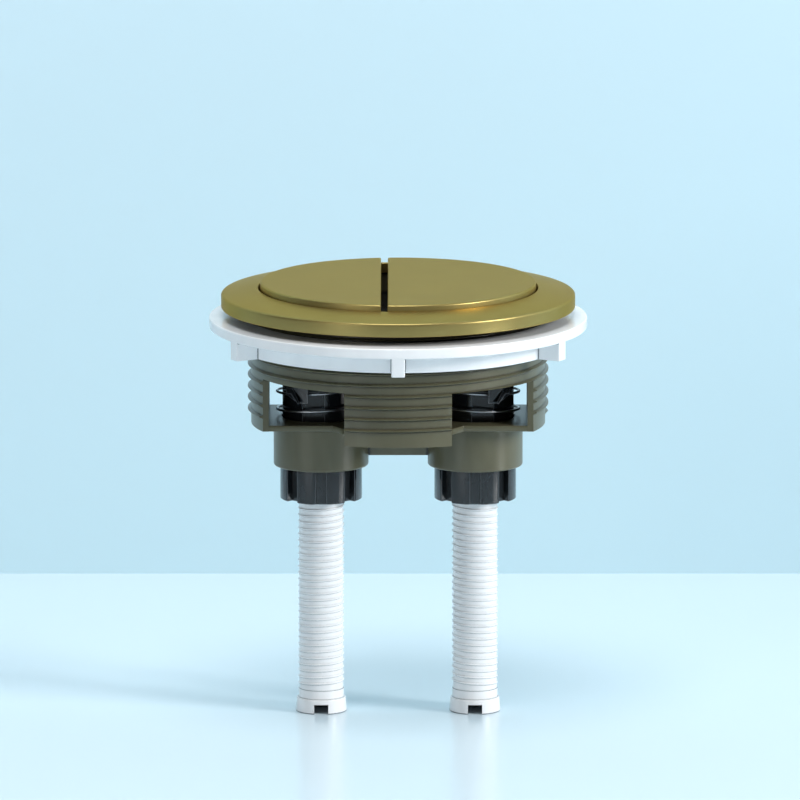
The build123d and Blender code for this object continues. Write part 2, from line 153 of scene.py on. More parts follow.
SPRING_R = 8.47
SPRING_WIRE = 0.5
SPRING_PITCH = 3.4
SPRING_START = 116.5

# %% [markdown]
# ## From numbers to a mesh
# Most of these parts were turned or moulded, so their shape is a stack of rings. Two helpers
# do nearly all of the work: one rounds the corners of an outline, the other skins rings.

# %% Outlines with softened corners
def softened(corners, radius, steps=4):
    """Rounds each corner of a closed outline of (a, b) points; radius is one value or one for each."""
    count = len(corners)
    radii = radius if isinstance(radius, (list, tuple)) else [radius] * count
    outline = []
    for index, corner in enumerate(corners):
        here = Vector(corner)
        back = Vector(corners[index - 1]) - here
        ahead = Vector(corners[(index + 1) % count]) - here
        bend = back.angle(ahead)
        reach = radii[index] / math.tan(bend / 2)
        reach = min(reach, 0.45 * back.length, 0.45 * ahead.length)
        if reach < 1e-6:
            outline.append(tuple(here))
            continue
        start = here + back.normalized() * reach
        end = here + ahead.normalized() * reach
        for step in range(steps + 1):
            share = step / steps
            point = start * (1 - share) ** 2 + here * 2 * share * (1 - share) + end * share**2
            outline.append(tuple(point))
    return outline


# %% A mesh object from points and faces
def add_piece(name, points, faces, sharp=35):
    """Makes one object from points in millimetres, smooth except over edges sharper than the angle."""
    mesh = bpy.data.meshes.new(name)
    mesh.from_pydata([Vector(point) * MM for point in points], [], faces)
    piece = bpy.data.objects.new(name, mesh)
    bpy.context.scene.collection.objects.link(piece)
    tidy(piece, sharp)
    return piece


def tidy(piece, sharp=35):
    """Joins doubled points, turns faces outward and sets smooth shading."""
    work = bmesh.new()
    work.from_mesh(piece.data)
    bmesh.ops.remove_doubles(work, verts=work.verts, dist=2e-6)
    bmesh.ops.dissolve_degenerate(work, edges=work.edges, dist=1e-7)
    bmesh.ops.recalc_face_normals(work, faces=work.faces)
    work.to_mesh(piece.data)
    work.free()
    piece.data.shade_smooth()
    piece.data.set_sharp_from_angle(angle=math.radians(sharp))


def skin(name, rings, sharp=35, looped=True, climb=0, climbing=0):
    """Closed solid through rings of equal count; a looped stack closes on its first ring.

    Where the rings climb like a thread, a ring ends on the one that starts climb rings later;
    climbing is the index of the last ring that does so.
    """
    count = len(rings[0])
    points = [point for ring in rings for point in ring]
    faces = []
    last = len(rings) if looped else len(rings) - 1
    for row in range(last):
        above = (row + 1) % len(rings)
        for spoke in range(count):
            beside = (spoke + 1) % count
            near, far = row, above
            if beside == 0 and row < climbing:
                near = min(row + climb, climbing)
                far = min(row + 1 + climb, climbing)
            faces.append((row * count + spoke, near * count + beside, far * count + beside, above * count + spoke))
    if not looped:
        faces.append(tuple(range(count))[::-1])
        faces.append(tuple((len(rings) - 1) * count + spoke for spoke in range(count)))
    return add_piece(name, points, faces, sharp)


# %% Turned and upright forms
def turned(name, outline, centre_x=0, segments=192, sharp=35):
    """Solid of revolution from a closed (radius, z) outline that stays clear of the axis."""
    rings = []
    for radius, height in outline:
        ring = []
        for spoke in range(segments):
            turn = 2 * math.pi * spoke / segments
            ring.append((centre_x + radius * math.cos(turn), radius * math.sin(turn), height))
        rings.append(ring)
    return skin(name, rings, sharp)


def upright(name, outline, low, high, edge=0.12, steps=2):
    """Flat outline of (x, y) points raised from low to high, with its rims eased."""
    solid = skin(name, [[(x, y, low) for x, y in outline], [(x, y, high) for x, y in outline]], looped=False)
    if edge:
        ease(solid, edge, steps)
    return solid


def ease(piece, width, steps=2, angle=40):
    """Bevels the sharp edges of a piece."""
    bevel = piece.modifiers.new("eased edges", "BEVEL")
    bevel.width = width * MM
    bevel.segments = steps
    bevel.limit_method = "ANGLE"
    bevel.angle_limit = math.radians(angle)
    freeze(piece)


def freeze(piece, sharp=35):
    """Turns a piece and its modifiers into one plain mesh."""
    evaluated = piece.evaluated_get(bpy.context.evaluated_depsgraph_get())
    finished = bpy.data.meshes.new_from_object(evaluated)
    piece.modifiers.clear()
    piece.data = finished
    tidy(piece, sharp)


def combine(piece, other, operation):
    """Joins a second closed solid to a piece, or cuts it out, and deletes the second."""
    step = piece.modifiers.new(operation.lower(), "BOOLEAN")
    step.operation = operation
    step.solver = "EXACT"
    step.object = other
    bpy.context.view_layer.update()
    freeze(piece)
    bpy.data.objects.remove(other)
    return piece


def rectangle(x_low, x_high, y_low, y_high):
    return [(x_low, y_low), (x_high, y_low), (x_high, y_high), (x_low, y_high)]


# %% [markdown]
# ## A shader kit
# A finish is a few layers of noise that change colour, roughness and height. Written as plain
# sums and products it stays readable, so one small class lets sockets be added and multiplied.

# %% Sockets that can be calculated with
class Value:
    """One output socket of a finish, with arithmetic that adds Math nodes."""

    def __init__(self, finish, socket):
        self.finish = finish
        self.socket = socket

    def maths(self, operation, first, second):
        return self.finish.node("ShaderNodeMath", {"operation": operation}, {0: first, 1: second})

    def __add__(self, other):
        return self.maths("ADD", self, other)

    def __sub__(self, other):
        return self.maths("SUBTRACT", self, other)

    def __rsub__(self, other):
        return self.maths("SUBTRACT", other, self)

    def __mul__(self, other):
        return self.maths("MULTIPLY", self, other)

    def __pow__(self, other):
        return self.maths("POWER", self, other)

    __radd__ = __add__
    __rmul__ = __mul__


class Finish:
    """A material built from nodes, ending in one Principled shader."""

    def __init__(self, name, **fixed):
        self.material = bpy.data.materials.new(name)
        self.material.use_nodes = True
        self.tree = self.material.node_tree
        self.shader = next(node for node in self.tree.nodes if node.type == "BSDF_PRINCIPLED")
        for socket, value in fixed.items():
            self.shader.inputs[socket.replace("_", " ").title().replace("Ior", "IOR")].default_value = value
        place = self.node("ShaderNodeTexCoord", {}, {}, output="Object")
        self.place = place

    def node(self, kind, settings, inputs, output=0):
        """Adds a node: its settings first, then values or links for its sockets."""
        made = self.tree.nodes.new(kind)
        for name, value in settings.items():
            if name == "stops":
                self.set_stops(made.color_ramp, value)
            else:
                setattr(made, name, value)
        for key, value in inputs.items():
            self.feed(made.inputs[key], value)
        return Value(self, made.outputs[output])

    def set_stops(self, ramp, stops):
        while len(ramp.elements) > 1:
            ramp.elements.remove(ramp.elements[-1])
        for index, (position, colour) in enumerate(stops):
            element = ramp.elements[0] if index == 0 else ramp.elements.new(position)
            element.position = position
            element.color = colour

    def feed(self, socket, value):
        if isinstance(value, Value):
            self.tree.links.new(value.socket, socket)
        else:
            socket.default_value = value

    def noise(self, size, detail=3.0, rough=0.5, stretch=(1, 1, 1), seed=0.0):
        """Noise from 0 to 1 whose grain is about size millimetres across."""
        scaled = self.node("ShaderNodeMapping", {}, {"Vector": self.place, "Scale": stretch, "Location": (seed,) * 3})
        return self.node(
            "ShaderNodeTexNoise", {},
            {"Vector": scaled, "Scale": 1 / (size * MM), "Detail": detail, "Roughness": rough},
        )

    def between(self, value, low, high):
        """Maps the part of a value from low to high onto 0 to 1, held at both ends."""
        return self.node("ShaderNodeMapRange", {"clamp": True}, {"Value": value, "From Min": low, "From Max": high})

    def mix(self, share, first, second):
        """Colour mix by a share from 0 to 1."""
        return self.node(
            "ShaderNodeMix", {"data_type": "RGBA"}, {"Factor": share, 6: first, 7: second}, output=2,
        )

    def crease_shade(self, reach_mm, low, high):
        """Mask of painted shade: 1 in creases no wider than the reach, more so where they face down, and 0 on open
        faces.
        """
        open_share = self.node("ShaderNodeAmbientOcclusion", {"samples": 8}, {"Distance": reach_mm * MM}, output="AO")
        outward = self.node("ShaderNodeNewGeometry", {}, {}, output="Normal")
        upward = self.node("ShaderNodeSeparateXYZ", {}, {"Vector": outward}, output="Z")
        return self.between((1 - open_share) * (1 + self.between(0 - upward, 0.0, 0.7)), low, high)

    def edges(self, reach_mm, low, high):
        """Mask of a painted highlight: 1 along outer edges, as wide as the reach, and 0 on open faces."""
        inner_share = self.node(
            "ShaderNodeAmbientOcclusion", {"samples": 8, "inside": True}, {"Distance": reach_mm * MM}, output="AO",
        )
        return self.between(1 - inner_share, low, high)

    def use(self, socket, value):
        self.feed(self.shader.inputs[socket], value)

    def bump(self, height, depth_mm, strength=1.0):
        """Raises the surface by a height from 0 to 1, as deep as stated."""
        normal = self.node("ShaderNodeBump", {}, {"Height": height, "Distance": depth_mm * MM, "Strength": strength})
        self.use("Normal", normal)


def rgb(red, green, blue):
    """Display colour in 0 to 255, as the linear colour that a shader takes."""
    linear = []
    for level in (red, green, blue):
        share = level / 255
        linear.append(share / 12.92 if share <= 0.04045 else ((share + 0.055) / 1.055) ** 2.4)
    return (*linear, 1.0)


# %% [markdown]
# ## Finishes
# Six materials make the object. Each one is a moulded or drawn surface with its own grain, and
# wear is light, as on a new part. Only colour, roughness and height vary over a surface.
# Creases carry painted shade, and black edges a painted highlight.

# %% Satin metallic lacquer of the bezel and caps
def lacquer():
    """Olive gold lacquer on moulded plastic: fine flake, faint orange peel, soft gloss."""
    finish = Finish("olive_gold_lacquer", specular_tint=(0.88, 0.62, 0.33, 1.0), metallic=0.85)
    flake = finish.noise(0.05, detail=2.0)
    cloud = finish.noise(9.0, detail=2.0, seed=3.0)
    dark = rgb(152, 136, 83)
    light = rgb(162, 146, 91)
    finish.use("Base Color", finish.mix(finish.between(flake * 0.6 + cloud * 0.4, 0.35, 0.65), dark, light))
    finish.use("Roughness", 0.31 + flake * 0.06 + cloud * 0.03)
    peel = finish.noise(0.7, detail=2.0, seed=7.0)
    finish.bump(peel * 0.8 + flake * 0.2, 0.006, 0.5)
    return finish.material


# %% White moulded plastic of the nut and rods
def white_plastic():
    """Smooth white plastic with the faint flow marks and pores of its mould, and painted shade in its creases."""
    finish = Finish("white_moulding")
    flow = finish.noise(5.0, detail=3.0, stretch=(1, 1, 0.35))
    pores = finish.noise(0.18, detail=2.0, seed=4.0)
    plain = finish.mix(finish.between(flow, 0.3, 0.7), rgb(236, 237, 239), rgb(244, 245, 246))
    # Painted shade: creases, most of all those that face down, take a grey blue.
    finish.use("Base Color", finish.mix(finish.crease_shade(0.3, 0.1, 0.3), plain, rgb(112, 118, 124)))
    finish.use("Roughness", 0.1 + flow * 0.06 + pores * 0.04)
    finish.bump(pores * 0.6 + flow * 0.4, 0.01, 0.35)
    return finish.material


# %% Olive grey plastic of the spigot
def olive_plastic():
    """Olive grey moulding with a fine spark-eroded grain, and near-black painted shade in its creases and under its
    ridges.
    """
    finish = Finish("olive_moulding")
    flow = finish.noise(6.0, detail=4.0, stretch=(1, 1, 0.4))
    grain = finish.noise(0.12, detail=3.0, rough=0.6, seed=2.0)
    plain = finish.mix(finish.between(flow, 0.3, 0.7), rgb(86, 83, 62), rgb(98, 95, 74))
    # Painted shade: creases and the undersides of the ridges turn near black.
    finish.use("Base Color", finish.mix(finish.crease_shade(1.0, 0.16, 0.4), plain, rgb(16, 15, 12)))
    finish.use("Roughness", 0.24 + grain * 0.1 + flow * 0.05)
    finish.bump(grain * 0.7 + flow * 0.3, 0.012, 0.45)
    return finish.material


# %% Black moulded plastic of the working parts
def black_plastic():
    """Black plastic with painted shade in its creases and a painted grey highlight along its edges."""
    finish = Finish("black_moulding")
    flow = finish.noise(4.0, detail=3.0, stretch=(1, 1, 0.4))
    grain = finish.noise(0.1, detail=2.0, seed=6.0)
    plain = finish.mix(finish.between(flow, 0.3, 0.7), rgb(24, 27, 30), rgb(32, 35, 38))
    # Painted shade in the creases.
    shaded_creases = finish.mix(finish.crease_shade(0.5, 0.12, 0.4), plain, rgb(5, 6, 7))
    # Painted highlight: a grey line along the outer edges.
    finish.use("Base Color", finish.mix(finish.edges(0.25, 0.1, 0.4), shaded_creases, rgb(84, 88, 92)))
    finish.use("Roughness", 0.1 + flow * 0.08 + grain * 0.04)
    finish.bump(grain * 0.6 + flow * 0.4, 0.008, 0.35)
    return finish.material


# %% Drawn wire and seal rubber
def spring_wire():
    """Bright drawn steel, with the fine streaks of the die."""
    finish = Finish("drawn_wire", metallic=1.0)
    streak = finish.noise(0.15, detail=2.0, stretch=(1, 1, 5))
    finish.use("Base Color", finish.mix(streak, rgb(176, 178, 182), rgb(205, 207, 210)))
    finish.use("Roughness", 0.24 + streak * 0.14)
    finish.bump(streak, 0.004, 0.3)
    return finish.material


def seal_rubber():
    """Matt black rubber with a warm dusty bloom."""
    finish = Finish("seal_rubber")
    bloom = finish.noise(2.5, detail=4.0)
    pores = finish.noise(0.15, detail=2.0, seed=5.0)
    finish.use("Base Color", finish.mix(finish.between(bloom, 0.35, 0.75), rgb(50, 47, 43), rgb(60, 57, 52)))
    finish.use("Roughness", 0.7 + bloom * 0.15)
    finish.bump(pores, 0.004, 0.3)
    return finish.material


FINISHES = {
    "olive_gold": lacquer(),
    "white_plastic": white_plastic(),
    "olive_plastic": olive_plastic(),
    "black_plastic": black_plastic(),
    "spring_steel": spring_wire(),
    "black_rubber": seal_rubber(),
}
print("finishes:", ", ".join(FINISHES))

# %% [markdown]
# ## Dressing a piece
# A new piece rides on a body, stands for the solid that it replaces and takes its slot's finish.
# The same three facts apply to each piece, so one function states them.

# %% Riding, replacing and finishing in one step
SLOT_OF = {row["node"]: row["material_slot"] for row in frame["record"]["subparts"]}


def dress(piece, body, node):
    """Puts a piece in the place of a solid, on its body and in its finish."""
    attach(piece, body)
    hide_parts(node)
    piece.data.materials.clear()
    piece.data.materials.append(FINISHES[SLOT_OF[node]])
    print(piece.name, "on", body, "with", len(piece.data.polygons), "faces")
    return piece


# %% [markdown]
# ## Bezel and caps
# The bezel is turned, so its whole form is one outline with eased corners. The two caps are
# half moons: their outline is drawn in a little at each step over the rounded rim.

# %% Bezel
def make_bezel():
    bottom = bezel_low.z / MM
    top = bezel_high.z / MM
    seat_z = bottom + BEZEL_SEAT
    corners = [
        (BEZEL_BORE_R, top),
        (BEZEL_R, BEZEL_EDGE_Z),
        (BEZEL_R, bottom),
        (BEZEL_R - BEZEL_RIM_WALL, bottom),
        (BEZEL_R - BEZEL_RIM_WALL, seat_z),
        (SPIGOT_R + 0.1, seat_z),
        (SPIGOT_R + 0.1, spigot_high.z / MM),
        (BEZEL_BORE_R, spigot_high.z / MM),
    ]
    radii = [0.25, 0.55, 0.2, 0.15, 0.1, 0.05, 0.05, 0.1]
    return dress(turned("bezel_ring", softened(corners, radii, 6), segments=320), "head", "bezel")


make_bezel()

# %% Button caps
RIM_FILLET = 0.4
RIM_STEPS = 6
ARC_POINTS = 120
CHORD_POINTS = 24


def half_moon(side, inset):
    """Outline of one cap seen from above, drawn in by the inset on every side."""
    edge_x = SPLIT_CENTRE_X + side * (SPLIT_WIDTH / 2 + inset)
    radius = CAP_R - inset
    corner = math.acos(side * edge_x / radius)
    points = []
    for index in range(ARC_POINTS + 1):
        turn = -corner + 2 * corner * index / ARC_POINTS
        points.append((side * radius * math.cos(turn), radius * math.sin(turn)))
    half_chord = radius * math.sin(corner)
    for index in range(1, CHORD_POINTS):
        points.append((edge_x, half_chord * (1 - 2 * index / CHORD_POINTS)))
    return points


def make_cap(name, side):
    low = cap_low.z / MM
    top = cap_high.z / MM
    levels = [(CAP_WALL, low), (0.0, low)]
    for step in range(RIM_STEPS + 1):
        turn = math.pi / 2 * step / RIM_STEPS
        levels.append((RIM_FILLET * (1 - math.cos(turn)), top - RIM_FILLET * (1 - math.sin(turn))))
    levels.append((RIM_FILLET + 0.06, top))
    rings = [[(x, y, z) for x, y in half_moon(side, inset)] for inset, z in levels]
    inner = [[(x, y, z) for x, y in half_moon(side, CAP_WALL)] for z in (top - CAP_TOP_WALL, low)]
    cap = skin(f"{name}_cap_shell", [inner[0], *rings], looped=False)
    return dress(cap, f"{name}_button", f"{name}_button_cap")


for name, side in SIDES.items():
    make_cap(name, side)

# %% [markdown]
# ## Threads
# The photo shows both threads as one pointed ridge with bare wall between its turns. The rows of
# points climb with the helix, so the ridge stays crisp with four rows to a turn, and rows past
# the ends are pressed flat onto the end planes, where doubled points then merge.

# %% A climbing wall
def ridge_rows(base, tip):
    """Height above the ridge's middle and rise from 0 to 1, for the four corners of one turn."""
    return [(-base / 2, 0), (-tip / 2, 1), (tip / 2, 1), (base / 2, 0)]


def threaded_wall(root, crest, low, high, pitch, start, end, rows, lead, segments, hand=1, centre=0):
    """Rings of a wall whose ridge starts on +X, grows over the lead in turns and stops at the end height."""
    first = math.floor((low - start) / pitch) - 2
    last = math.ceil((high - start) / pitch) + 1
    rings = []
    for wind in range(first, last + 1):
        for offset, rise in rows:
            ring = []
            for spoke in range(segments):
                turn = spoke / segments
                height = start + offset + pitch * (wind + turn)
                grown = min(max((wind + turn) / lead, 0.0), 1.0) if low < height < end else 0.0
                radius = root + (crest - root) * rise * grown
                angle = 2 * math.pi * turn
                height = min(max(height, low), high)
                ring.append((centre + hand * radius * math.cos(angle), radius * math.sin(angle), height))
            rings.append(ring)
    return rings


print("a ridge has", len(ridge_rows(THREAD_BASE, THREAD_TIP)), "rows of points to a turn")

# %% [markdown]
# ## Spigot
# The real spigot is one moulding: a threaded tube with four windows, a floor, stiffened panels
# and two sockets. Each form is made whole and closed, and then they are joined or cut.

# %% Threaded tube with its four windows
TUBE_SEGMENTS = 288


def make_tube():
    """Threaded outside, plain bore, with the ledge that carries the guide plate."""
    low = FLOOR_BOTTOM_Z
    high = spigot_high.z / MM
    bore = SPIGOT_R - SPIGOT_WALL
    rows = ridge_rows(THREAD_BASE, THREAD_TIP)
    outside = threaded_wall(
        SPIGOT_R, CREST_R, low, high, THREAD_PITCH, THREAD_START_Z, THREAD_TOP_Z, rows, 0.01, TUBE_SEGMENTS,
    )
    ledge_r = bore - LEDGE_WIDTH
    inside = [
        (bore, high), (bore, GUIDE_BOTTOM_Z), (ledge_r, GUIDE_BOTTOM_Z), (ledge_r, GUIDE_BOTTOM_Z - LEDGE_HEIGHT / 2),
        (bore, GUIDE_BOTTOM_Z - LEDGE_HEIGHT - LEDGE_WIDTH / 2), (bore, low),
    ]
    rings = []
    for radius, height in inside:
        turns = [2 * math.pi * spoke / TUBE_SEGMENTS for spoke in range(TUBE_SEGMENTS)]
        rings.append([(radius * math.cos(turn), radius * math.sin(turn), height) for turn in turns])
    return skin("spigot_tube", [*outside, *rings], sharp=30, climb=len(rows), climbing=len(outside) - 1)


def cut_windows(tube):
    reach = CREST_R + 2
    for side_x in (-1, 1):
        for side_y in (-1, 1):
            xs = sorted((side_x * PANEL_HALF_WIDTH, side_x * reach))
            ys = sorted((side_y * SIDE_HALF_WIDTH, side_y * reach))
            window = upright("window", rectangle(*xs, *ys), FLOOR_BOTTOM_Z - 1, WINDOW_TOP_Z, edge=0)
            combine(tube, window, "DIFFERENCE")


# %% Floor, stiffened panel edges, web and sockets
WALL_OVERLAP = 0.3


def floor_outline():
    """Floor seen from above, ending inside the tube's wall."""
    radius = SPIGOT_R - WALL_OVERLAP
    side_y = SIDE_HALF_WIDTH - 0.02
    deep_y = SIDE_HALF_WIDTH + CHAMFER_Y
    quarter = []
    side_turn = math.asin(side_y / radius)
    for index in range(9):
        turn = side_turn * index / 8
        quarter.append((radius * math.cos(turn), radius * math.sin(turn)))
    quarter.append((PANEL_HALF_WIDTH + CHAMFER_X, side_y))
    quarter.append((PANEL_HALF_WIDTH, deep_y))
    panel_turn = math.acos(PANEL_HALF_WIDTH / radius)
    for index in range(9):
        turn = panel_turn + (math.pi / 2 - panel_turn) * index / 8
        quarter.append((radius * math.cos(turn), radius * math.sin(turn)))
    half = quarter + [(-x, y) for x, y in reversed(quarter[:-1])]
    return half + [(x, -y) for x, y in reversed(half[1:-1])]


def make_floor():
    base = upright("floor", floor_outline(), FLOOR_BOTTOM_Z, FLOOR_TOP_Z, edge=0.1)
    deep_y = SIDE_HALF_WIDTH + CHAMFER_Y
    for side_x in (-1, 1):
        for side_y in (-1, 1):
            xs = sorted((side_x * PANEL_HALF_WIDTH, side_x * (PANEL_HALF_WIDTH - PANEL_RETURN)))
            end_y = math.sqrt((SPIGOT_R - WALL_OVERLAP) ** 2 - PANEL_HALF_WIDTH**2)
            ys = sorted((side_y * deep_y, side_y * end_y))
            wall = upright("return", rectangle(*xs, *ys), FLOOR_BOTTOM_Z + 0.1, WINDOW_TOP_Z + 0.5, edge=0.1)
            combine(base, wall, "UNION")
    web = upright(
        "web", rectangle(-AXIS_X, AXIS_X, -WEB_THICKNESS / 2, WEB_THICKNESS / 2), WEB_BOTTOM_Z, FLOOR_TOP_Z - 0.2,
    )
    combine(base, web, "UNION")
    bottom = spigot_low.z / MM
    for side in SIDES.values():
        outline = softened([(0.01, bottom), (SOCKET_R, bottom), (SOCKET_R, FLOOR_TOP_Z - 0.1), (0.01, FLOOR_TOP_Z - 0.1)],
                           [0, 0.5, 0, 0], 6)
        socket = turned("socket", outline, side * AXIS_X, 128)
        combine(base, socket, "UNION")
    for side in SIDES.values():
        bore = turned(
            "bore", [(0.01, bottom - 1), (SOCKET_BORE_R, bottom - 1), (SOCKET_BORE_R, FLOOR_TOP_Z + 1),
                     (0.01, FLOOR_TOP_Z + 1)], side * AXIS_X, 128,
        )
        combine(base, bore, "DIFFERENCE")
    return base


def make_spigot():
    tube = make_tube()
    cut_windows(tube)
    floor = make_floor()
    combine(tube, floor, "UNION")
    tube.name = "spigot_moulding"
    return dress(tube, "head", "threaded_spigot")


make_spigot()

# %% [markdown]
# ## Lock nut
# The nut is a turned flange and skirt. Its six gussets are square blocks that end flush with the
# flange's rim, so each is cut to the flange's own circle before it joins the nut.

# %% Lock nut
def gusset_outline():
    half = GUSSET_WIDTH / 2
    outer = []
    for index in range(5):
        x = half - GUSSET_WIDTH * index / 4
        outer.append((x, -math.sqrt((NUT_R - 0.02) ** 2 - x**2)))
    return [(-half, -(NUT_BORE_R + 0.9)), (half, -(NUT_BORE_R + 0.9)), *outer]


def make_nut():
    bottom = nut_low.z / MM
    top = nut_high.z / MM
    flange_z = top - NUT_FLANGE
    corners = [
        (NUT_BORE_R, top), (NUT_R, top), (NUT_R, flange_z), (NUT_SKIRT_R, flange_z), (NUT_SKIRT_R, bottom),
        (NUT_BORE_R, bottom),
    ]
    outline = softened(corners, [0.15, 0.32, 0.3, 0.4, 0.25, 0.15], 6)
    nut = turned("nut_moulding", outline, segments=256)
    for index in range(GUSSETS):
        gusset = upright("gusset", gusset_outline(), bottom, flange_z + 0.5, edge=0.18, steps=3)
        gusset.rotation_euler.z = 2 * math.pi * index / GUSSETS
        combine(nut, gusset, "UNION")
    return dress(nut, "nut", "lock_nut")


make_nut()

# %% [markdown]
# ## Rods
# Each rod is hollow, with a fine thread that fades out above its neck and a slotted foot. The
# two rods mirror each other in the photo, so one hand value turns the helix round.

# %% Push rods
ROD_SEGMENTS = 96


def make_rod(name, side):
    centre = side * AXIS_X
    top = rod_high.z / MM
    neck_top = FOOT_HEIGHT + NECK_HEIGHT
    rows = ridge_rows(ROD_THREAD_BASE, ROD_THREAD_TIP)
    outside = threaded_wall(
        ROD_ROOT_R, ROD_R, neck_top, top, ROD_PITCH, neck_top + 0.5, top, rows, 0.5,
        ROD_SEGMENTS, -side, centre,
    )
    foot = softened(
        [(ROD_BORE_R, 0), (FOOT_R, 0), (FOOT_TOP_R, FOOT_HEIGHT), (NECK_R, FOOT_HEIGHT), (NECK_R, neck_top)],
        [0.15, 0.2, 0.2, 0.1, 0], 3,
    )
    rings = []
    for radius, height in [(ROD_BORE_R, top), *foot]:
        ring = []
        for spoke in range(ROD_SEGMENTS):
            turn = 2 * math.pi * spoke / ROD_SEGMENTS
            ring.append((centre - side * radius * math.cos(turn), radius * math.sin(turn), height))
        rings.append(ring)
    rod = skin(f"{name}_rod_thread", [*outside, *rings], sharp=30, climb=len(rows), climbing=len(outside) - 1)
    slot = upright(
        "slot", rectangle(centre - FOOT_SLOT_WIDTH / 2, centre + FOOT_SLOT_WIDTH / 2, -FOOT_R - 1, 0),
        -1, FOOT_SLOT_HEIGHT, edge=0,
    )
    combine(rod, slot, "DIFFERENCE")
    return dress(rod, f"{name}_rod", f"{name}_rod")


for name, side in SIDES.items():
    make_rod(name, side)

# %% [markdown]
# ## Collars
# A collar is a short upright form with eight flutes: four shallow and four deep. Its outline is
# worked out flute by flute, and a small round on each corner catches the light as in the photo.

# %% Fluted collars
def fluted_outline(radius, inset):
    corners = []
    for index in range(8):
        width, depth = SHALLOW_FLUTE if index % 2 == 0 else DEEP_FLUTE
        half = width / 2 + inset
        middle = -math.pi / 2 + index * math.pi / 4
        rim = radius - inset
        lip = math.asin(half / rim)
        floor_r = radius - depth - inset
        flute = [
            (rim * math.cos(lip), -half), (floor_r, -half), (floor_r, half), (rim * math.cos(lip), half),
        ]
        for along, across in flute:
            corners.append((
                along * math.cos(middle) - across * math.sin(middle),
                along * math.sin(middle) + across * math.cos(middle),
            ))
        following = DEEP_FLUTE if index % 2 == 0 else SHALLOW_FLUTE
        start = middle + lip
        end = middle + math.pi / 4 - math.asin((following[0] / 2 + inset) / rim)
        for step in range(1, 6):
            turn = start + (end - start) * step / 6
            corners.append((rim * math.cos(turn), rim * math.sin(turn)))
    return softened(corners, 0.08, 2)


def make_collar(name, side):
    centre = side * AXIS_X
    low = collar_low.z / MM
    top = collar_high.z / MM
    rings = []
    for inset, height in ((0.0, top), (0.0, low + 0.25), (0.05, low + 0.1), (0.2, low)):
        rings.append([(centre + x, y, height) for x, y in fluted_outline(COLLAR_R, inset)])
    collar = skin(f"{name}_collar_fluted", rings, looped=False)
    bore = turned(
        "bore", [(0.01, low - 1), (ROD_R + 0.06, low - 1), (ROD_R + 0.06, top - NOSE_DEPTH - 0.1),
                 (NOSE_R + 0.08, top - NOSE_DEPTH - 0.1), (NOSE_R + 0.08, top + 1), (0.01, top + 1)], centre, 96,
    )
    combine(collar, bore, "DIFFERENCE")
    return dress(collar, f"{name}_collar", f"{name}_collar")


for name, side in SIDES.items():
    make_collar(name, side)

# %% [markdown]
# ## Plungers and springs
# A plunger is turned, with one flat on its front and one on its back. A spring is a helix of
# round wire.

# %% Plungers
def make_plunger(name, side):
    centre = side * AXIS_X
    low = plunger_low.z / MM
    top = plunger_high.z / MM
    shoulder = low + NOSE_DEPTH
    head = top - HEAD_THICKNESS
    corners = [
        (PLUNGER_BORE_R, low), (NOSE_R, low), (NOSE_R, shoulder), (SLEEVE_R, shoulder), (SLEEVE_R, head),
        (HEAD_R, head), (HEAD_R, top), (PLUNGER_BORE_R, top),
    ]
    plunger = turned(f"{name}_sleeve", softened(corners, 0.15, 3), centre, 128)
    offset, width, depth = SLEEVE_FLAT
    for side_y in (-1, 1):
        xs = sorted((centre + side * (offset - width / 2), centre + side * (offset + width / 2)))
        ys = sorted((side_y * (SLEEVE_R - depth), side_y * (SLEEVE_R + 1)))
        flat = upright("flat", rectangle(*xs, *ys), SLEEVE_FLAT_LOW_Z, SLEEVE_FLAT_HIGH_Z, edge=0)
        combine(plunger, flat, "DIFFERENCE")
    return dress(plunger, f"{name}_button", f"{name}_plunger")


for name, side in SIDES.items():
    make_plunger(name, side)

# %% Springs
WIRE_POINTS = 14
TURN_POINTS = 96


def make_spring(name, side):
    low = spring_low.z / MM + SPRING_WIRE / 2
    high = spring_high.z / MM - SPRING_WIRE / 2
    turns = (high - low) / SPRING_PITCH
    count = int(turns * TURN_POINTS)
    rings = []
    for index in range(count + 1):
        turn = math.radians(SPRING_START) - 2 * math.pi * turns * index / count
        height = low + (high - low) * index / count
        thick = SPRING_WIRE / 2
        if index in (0, count):
            thick *= 0.6
        ring = []
        for spoke in range(WIRE_POINTS):
            around = 2 * math.pi * spoke / WIRE_POINTS
            radius = SPRING_R + thick * math.cos(around)
            ring.append((side * (AXIS_X + radius * math.cos(turn)), radius * math.sin(turn),
                         height + thick * math.sin(around)))
        rings.append(ring)
    spring = skin(f"{name}_coil", rings, looped=False)
    dress(spring, "head", f"{name}_spring")
    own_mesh(spring)
    return spring


for name, side in SIDES.items():
    make_spring(name, side)

# %% [markdown]
# ## Solids that stay
# The plate, the carriers, the retainers and the gasket are right as they come. They keep their
# mesh and only take a finish.

# %% Finishes for the solids that stay
for node in ("bezel_gasket", "guide_plate", "small_carrier", "large_carrier", "small_retainer", "large_retainer"):
    solid = frame["nodes"][node]
    solid.data.materials.clear()
    solid.data.materials.append(FINISHES[SLOT_OF[node]])
    print(node, "finished in", SLOT_OF[node])

# %% [markdown]
# ## Barbs of the retainers
# Behind each window a small bright mark shows on the black retainer. It is a barb that leans out
# as it goes down, so its face looks up at the lamp. It is added to the tab, a wedge at each side.

# %% Barbs
BARB = [(6.7, 64.8), (6.6, 63.9), (5.75, 63.9), (4.45, 62.15), (4.1, 62.3), (5.35, 64.8)]
BARB_TOP_Z = 64.85
BARB_LEAN = 0.76
BARB_FACE_Y = 8.83
TAB_INNER_R = 9.6


